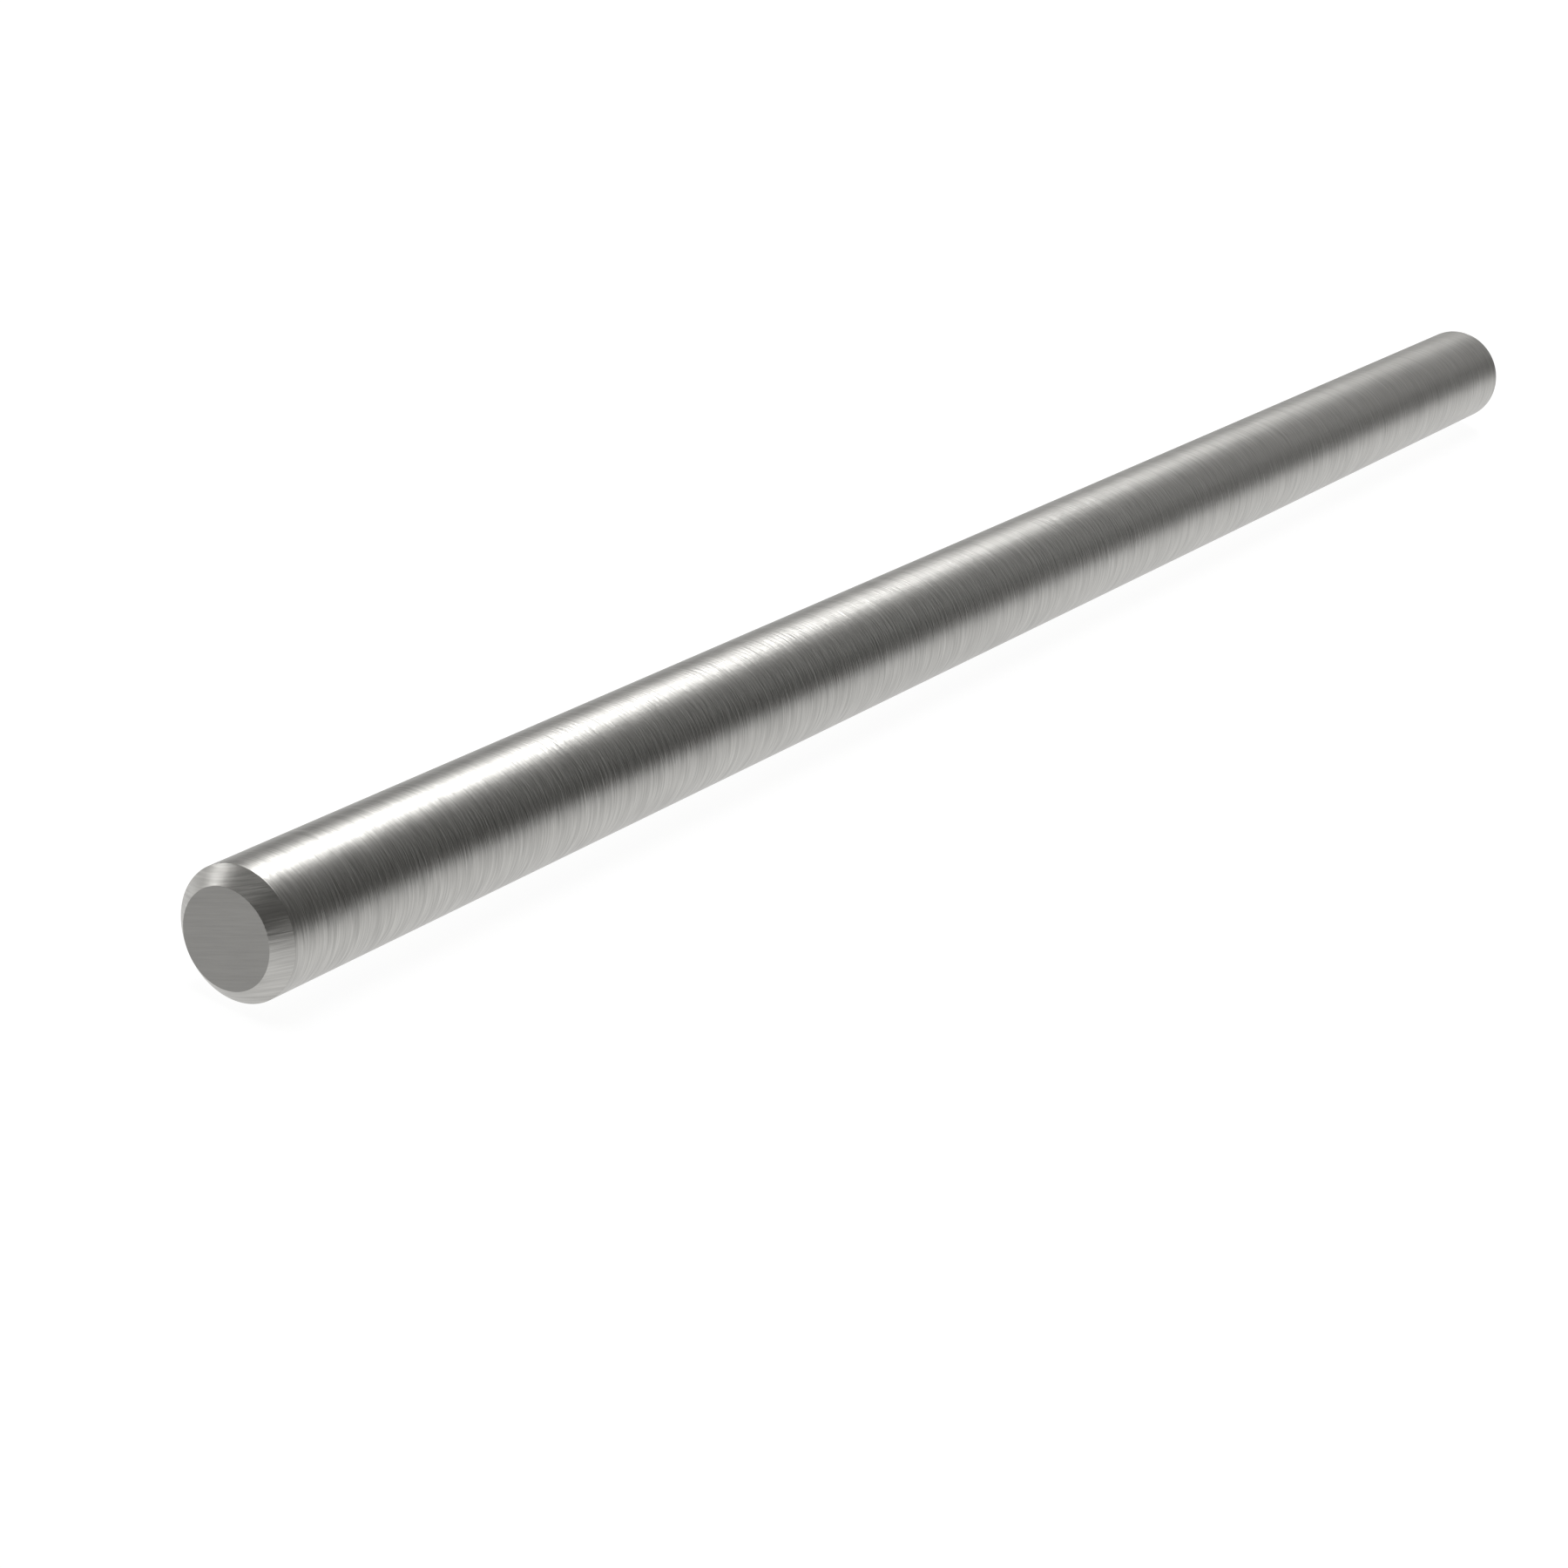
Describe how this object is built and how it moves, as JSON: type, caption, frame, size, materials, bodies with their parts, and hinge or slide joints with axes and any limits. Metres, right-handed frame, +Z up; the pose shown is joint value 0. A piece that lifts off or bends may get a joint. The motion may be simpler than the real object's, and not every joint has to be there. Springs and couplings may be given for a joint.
{
  "type": "stainless steel rod",
  "caption": "Straight solid round bar in brushed stainless steel, with a 45 degree chamfer on each end, to be clamped, bored into or slid through a bush.",
  "frame": {"origin": "on the bar's axis, at the middle of its length; the lying bar rests 8 mm below it", "axes": "+X along the bar's axis, +Z up"},
  "size_m": [0.35, 0.016, 0.016],
  "materials": {
    "stainless_steel": "brushed around the bar, with straight fine lines on the chamfers and end faces"
  },
  "bodies": {
    "root": {"rod": "stainless_steel"}
  },
  "joints": []
}
